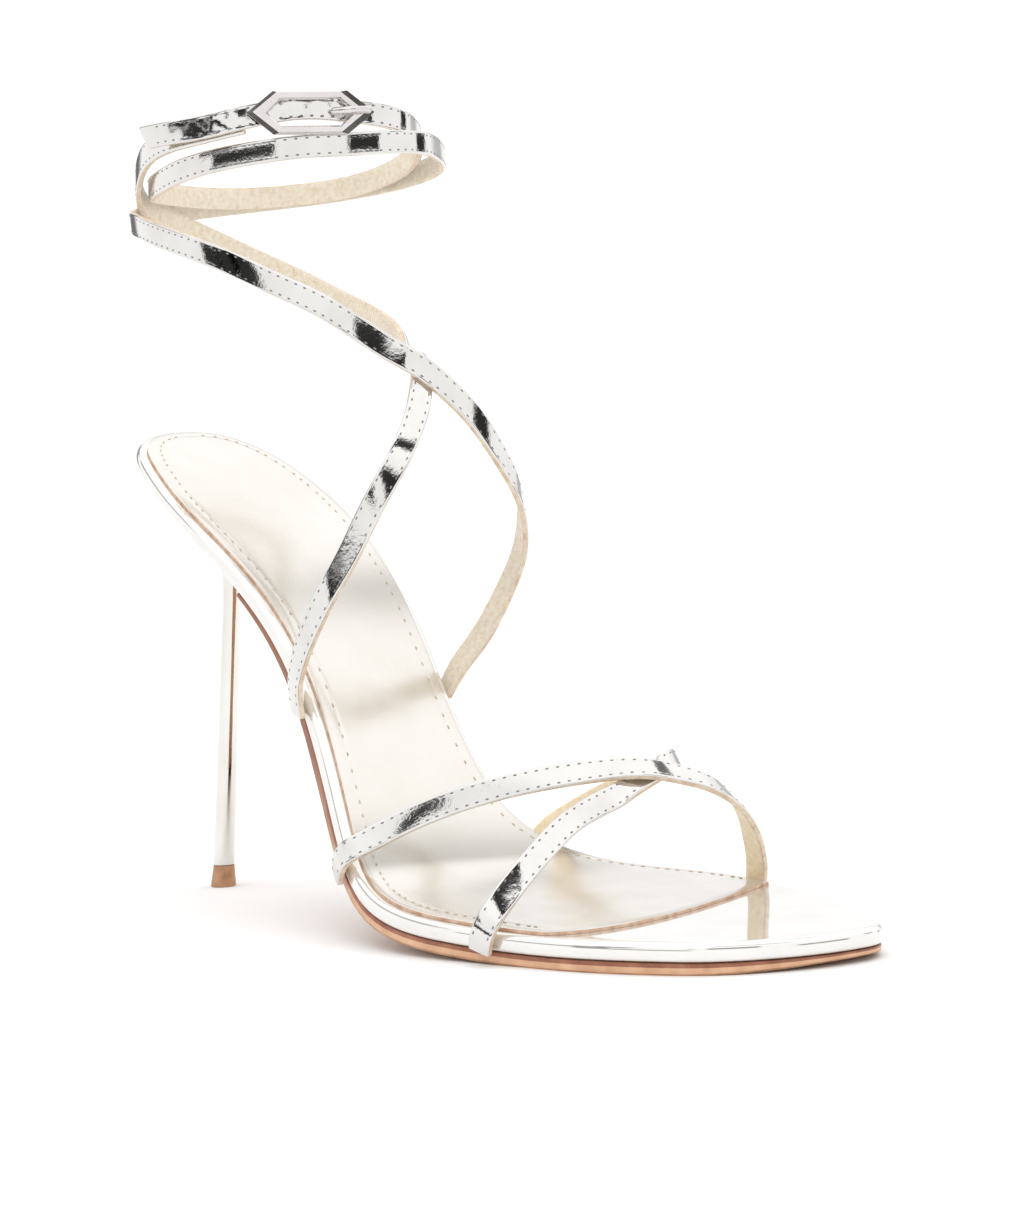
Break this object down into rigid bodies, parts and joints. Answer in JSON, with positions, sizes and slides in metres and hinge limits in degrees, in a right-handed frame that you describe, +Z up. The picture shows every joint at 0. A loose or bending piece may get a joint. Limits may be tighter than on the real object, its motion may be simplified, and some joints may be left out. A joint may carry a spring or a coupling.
{
  "type": "lace_up_sandal",
  "caption": "Mirror-leather lace-up pin-heel sandal for the right foot: crossed toe straps, ankle straps wound round the leg, long six-sided buckle, thin platform sole.",
  "frame": {"origin": "on the floor, under the middle of the sandal's bounding box", "axes": "+X points forward to the toe, +Y to the inner side of the right foot, +Z up"},
  "size_m": [0.2204, 0.0842, 0.1856],
  "materials": {
    "mirror_leather": "mirror-foil face in a silver champagne tone",
    "sock_leather": "soft satin with a pale gold sheen, raw tan edge",
    "sole_leather": "smooth tan leather with a dyed edge",
    "lift_rubber": "dull tan",
    "buckle_metal": "polished silver"
  },
  "bodies": {
    "root": {"outsole": "sole_leather", "platform": "mirror_leather", "sock": "sock_leather", "heel": "mirror_leather", "heel_lift": "lift_rubber", "toe_straps": "mirror_leather", "ankle_straps": "mirror_leather", "buckle_frame": "buckle_metal", "buckle_prong": "buckle_metal"}
  },
  "joints": []
}
